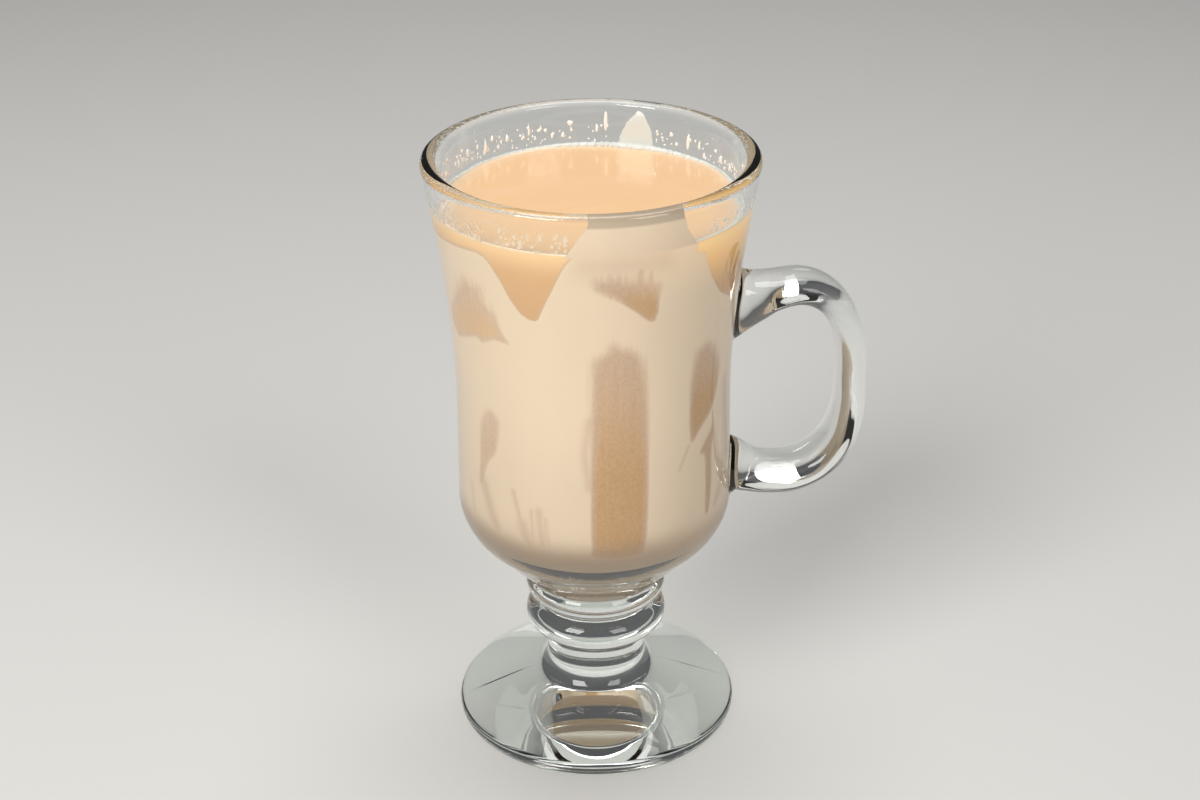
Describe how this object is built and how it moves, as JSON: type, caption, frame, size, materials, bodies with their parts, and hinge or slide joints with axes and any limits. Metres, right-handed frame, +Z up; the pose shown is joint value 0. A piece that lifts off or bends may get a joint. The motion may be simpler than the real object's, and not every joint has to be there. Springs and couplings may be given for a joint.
{
  "type": "footed glass mug of milky coffee",
  "caption": "Clear pressed-glass mug on a round foot with a ringed stem and looped handle, filled with milky coffee whose cream coats the inside wall.",
  "frame": {"origin": "middle of the foot's flat underside, on the axis of the bowl", "axes": "+Z up along the axis of the bowl, +X towards the handle"},
  "size_m": [0.1027, 0.076, 0.1456],
  "materials": {
    "clear_glass": "clear, smooth pressed glass with a faint green cast where it is thick",
    "milky_coffee": "opaque, wet and glossy tan liquid",
    "cream": "opaque, wet pale cream, streaked and thin at its edges"
  },
  "bodies": {
    "root": {"glass_mug": "clear_glass", "coffee": "milky_coffee", "cream_coat": "cream"}
  },
  "joints": []
}
